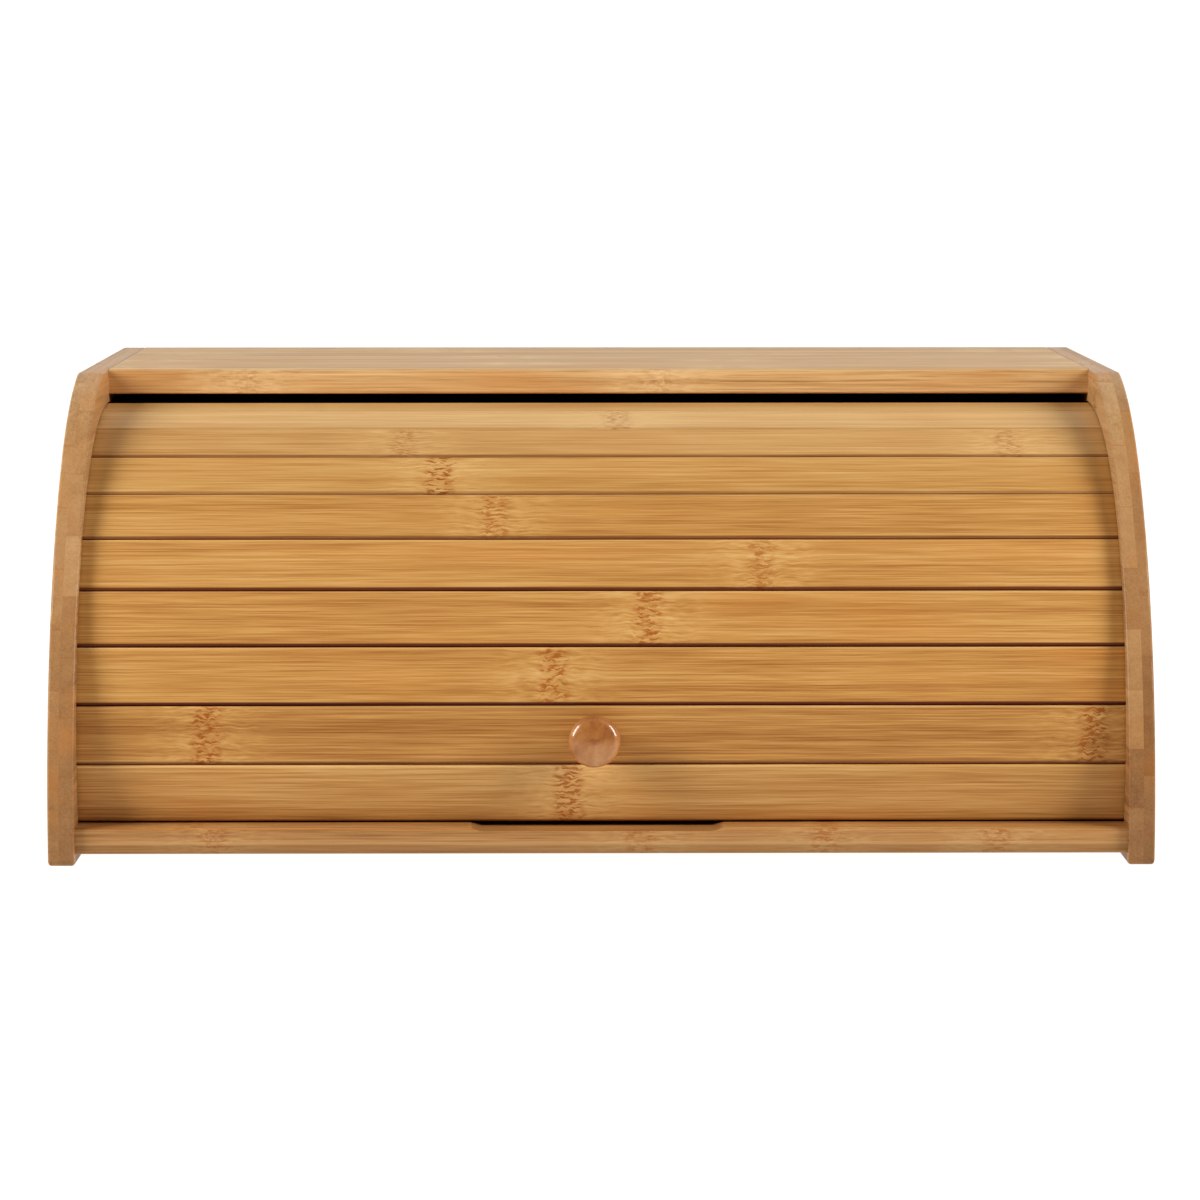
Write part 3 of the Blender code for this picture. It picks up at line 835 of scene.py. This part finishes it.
def canvas_backing(material):
    """The cloth glued behind the slats: it lies on each slat and tucks in slightly between two."""
    outer = SLAT_FACE_RADIUS - SLAT_THICKNESS - GAP
    trim = CLOTH_END_MARGIN / outer
    steps = 8
    count = len(SLAT_NODES)
    angles = [CURTAIN_START + i * SLAT_PITCH / steps for i in range(count * steps + 1)]
    angles[0] += trim
    angles[-1] -= trim
    near, far = [], []
    for angle in angles:
        slat_index = min(count - 1, max(0, int((angle - CURTAIN_START) / SLAT_PITCH)))
        middle = CURTAIN_START + (slat_index + 0.5) * SLAT_PITCH
        reach = outer / math.cos(angle - middle)
        near.append((-reach * math.cos(angle), reach * math.sin(angle)))
        reach -= CLOTH_THICKNESS
        far.append((-reach * math.cos(angle), reach * math.sin(angle)))
    loop = near + far[::-1]
    columns = 48
    sections = []
    for i in range(columns + 1):
        x = CLOTH_LOW.x + (CLOTH_HIGH.x - CLOTH_LOW.x) * i / columns
        sections.append([(x, y, z) for y, z in loop])
    obj = loft("canvas_backing", sections)
    smooth(obj, 60)
    obj.matrix_world = Matrix.Translation(AXIS)
    dress(obj, material, "tambour", "canvas", "tambour_cloth")


# The cane's joints that show on each slat, along the slat from the box's middle
SLAT_MARKS = {
    1: (-0.0114,),
    2: (-0.143, 0.179),
    3: (-0.0175,),
    4: (0.017,),
    5: (0.059,),
    6: (-0.039,),
    7: (-0.060,),
    8: (-0.074, 0.154),
    9: (0.007,),
    10: (-0.110,),
    11: (0.095,),
}
# How pale each slat is, partly its own tone and partly painted light, growing paler towards the top
# slats and most on the tenth against the top board's shadow; how strong its joints show; and how dark
# the painted shade at its lower edge, where not as usual
SLAT_TONES_AND_LIGHT = {
    1: -0.02, 2: -0.18, 3: -0.07, 4: -0.04, 5: -0.02, 6: 0.02, 7: 0.08, 8: 0.10, 9: 0.34, 10: 0.6,
}
SLAT_JOINTS = {2: 0.9, 5: 0.6, 6: 0.65, 7: 0.95, 8: 0.45, 9: 0.5, 10: 0.15}
SLAT_SEAM_SHADES = {1: 0.3, 2: 0.6, 3: 0.95, 4: 0.9, 5: 0.85, 6: 0.6, 7: 0.42, 8: 0.5}
SLAT_EDGE = SLAT_WIDTH / 2 - 0.0012
# The cane's joints on the front strips of the top and the base
TOP_MARKS = (-0.137, 0.023)
BASE_MARKS = (-0.140, 0.014, 0.081, 0.143)


def build_curtain():
    for number, node in enumerate(SLAT_NODES, 1):
        material = bamboo(
            f"slat_bamboo_{number:02d}", "xzy", number * 5.3, SLAT_BAMBOO, strips=False,
            marks=SLAT_MARKS[number], tone=SLAT_TONES_AND_LIGHT.get(number, 0.0), painted_edges_from=SLAT_EDGE,
            seam_shade=SLAT_SEAM_SHADES.get(number, 0.2), joint=SLAT_JOINTS.get(number, 0.8),
        )
        slat(node, number, material)
    canvas_backing(canvas())
    turned_knob(lacquered_knob())


def build_carcass():
    side_split = INNER_HALF + INNER_PLY
    # The side panels' strips grow paler upward as painted light
    left = bamboo(
        "left_side_bamboo", "yzx", 2.0, SIDE_BAMBOO, ply_split=-side_split, tone=-0.10, painted_climb=2.6,
        spread=0.16,
    )
    right = bamboo(
        "right_side_bamboo", "yzx", 13.0, SIDE_BAMBOO, ply_split=side_split, tone=-0.10, painted_climb=3.6,
        spread=0.26, over=0.22,
    )
    side_panel("left_bamboo_side", "left_side_panel", -1, left)
    side_panel("right_bamboo_side", "right_side_panel", 1, right)
    top_bamboo = bamboo(
        "top_bamboo", "xyz", 4.0, TOP_BAMBOO, marks=TOP_MARKS, front=TOP_LOW.y, tone=-0.12,
        spread=0.10, joint=0.25, gloss=0.15,
    )
    top_board(top_bamboo)
    base_bamboo = bamboo(
        "base_bamboo", "xyz", 6.0, BASE_BAMBOO, ply_split=BASE_LOW.z + LOWER_PLY, marks=BASE_MARKS,
        front=BASE_LOW.y, under=0.45, joint=0.55,
    )
    base_board(base_bamboo)
    back_board(bamboo("back_bamboo", "xzy", 8.0, BACK_BAMBOO))


def build_fixings():
    steel = zinc()
    back_screws(steel)
    knob_fixing_screw(steel)
    dowel_wood = beech()
    for name, node in frame["nodes"].items():
        if "_dowel_" in name:
            node.data.materials.clear()
            node.data.materials.append(dowel_wood)


# ---------------------------------------------------------------- stage, light and camera


def paper():
    """White paper with a light of its own, stronger where the lamps don't reach."""
    s = Shader("white_paper")
    x, y, _ = s.place()
    distance = s.math("SQRT", s.math("ADD", s.math("MULTIPLY", x, x), s.math("MULTIPLY", y, y)))
    glow = s.fade(distance, 0.30, 1.20, FLOOR_GLOW, BACKDROP_GLOW)
    s.feed(s.surface.inputs["Emission Color"], (1, 1, 1, 1))
    s.feed(s.surface.inputs["Emission Strength"], glow)
    return s.finish((PAPER_ALBEDO, PAPER_ALBEDO, PAPER_ALBEDO, 1), 0.9, Specular_IOR_Level=0.1)


def add_stage():
    """A pale floor that sweeps up behind the object."""
    reach, rise, bend, start = 6.0, 4.0, 1.5, 1.2
    turns = [math.radians(9 * i) for i in range(11)]
    curve = [(-reach, 0.0)] + [(start + bend * math.sin(a), bend - bend * math.cos(a)) for a in turns]
    curve.append((start + bend, rise))
    bm = bmesh.new()
    rows = [[bm.verts.new((x, y, z)) for y, z in curve] for x in (-reach, reach)]
    for i in range(len(curve) - 1):
        bm.faces.new((rows[0][i], rows[1][i], rows[1][i + 1], rows[0][i + 1]))
    obj = add_mesh("paper_sweep", bm)
    obj.data.shade_smooth()
    obj.data.materials.append(paper())


def add_softbox(name, azimuth, elevation, distance, size, power):
    """A rectangular light that faces the object; azimuth 0 is in front and grows to the right."""
    data = bpy.data.lights.new(name, "AREA")
    data.shape = "RECTANGLE"
    data.size, data.size_y = size
    data.energy = power
    obj = bpy.data.objects.new(name, data)
    bpy.context.scene.collection.objects.link(obj)
    turn, rise = math.radians(azimuth), math.radians(elevation)
    away = Vector((math.sin(turn) * math.cos(rise), -math.cos(turn) * math.cos(rise), math.sin(rise)))
    obj.location = LIGHT_TARGET + away * distance
    obj.rotation_euler = away.to_track_quat("Z", "Y").to_euler()


def add_lights():
    side_lamp = (SIDE_LIGHT_RISE, SIDE_LIGHT_DISTANCE, SIDE_LIGHT_SIZE, SIDE_LIGHT_POWER)
    add_softbox("left_softbox", -SIDE_LIGHT_AZIMUTH, *side_lamp)
    add_softbox("right_softbox", SIDE_LIGHT_AZIMUTH, *side_lamp)
    add_softbox("overhead_softbox", 0, OVERHEAD_RISE, OVERHEAD_DISTANCE, OVERHEAD_SIZE, OVERHEAD_POWER)
    world = bpy.data.worlds.new("studio")
    world.use_nodes = True
    background = world.node_tree.nodes["Background"]
    background.inputs["Color"].default_value = (1, 1, 1, 1)
    background.inputs["Strength"].default_value = STUDIO_FILL
    bpy.context.scene.world = world


def add_camera():
    """A long lens in front, slightly above and a little left of the middle."""
    data = bpy.data.cameras.new("camera")
    data.sensor_width = 36.0
    data.lens = CAMERA_LENS
    obj = bpy.data.objects.new("camera", data)
    bpy.context.scene.collection.objects.link(obj)
    obj.location = CAMERA_PLACE
    obj.rotation_euler = (math.pi / 2 + math.radians(CAMERA_TILT), 0, math.radians(CAMERA_TURN))
    bpy.context.scene.camera = obj


bpy.context.scene.view_settings.view_transform = "Standard"
bpy.context.scene.view_settings.look = "High Contrast"
build_curtain()
build_carcass()
build_fixings()
add_stage()
add_lights()
add_camera()
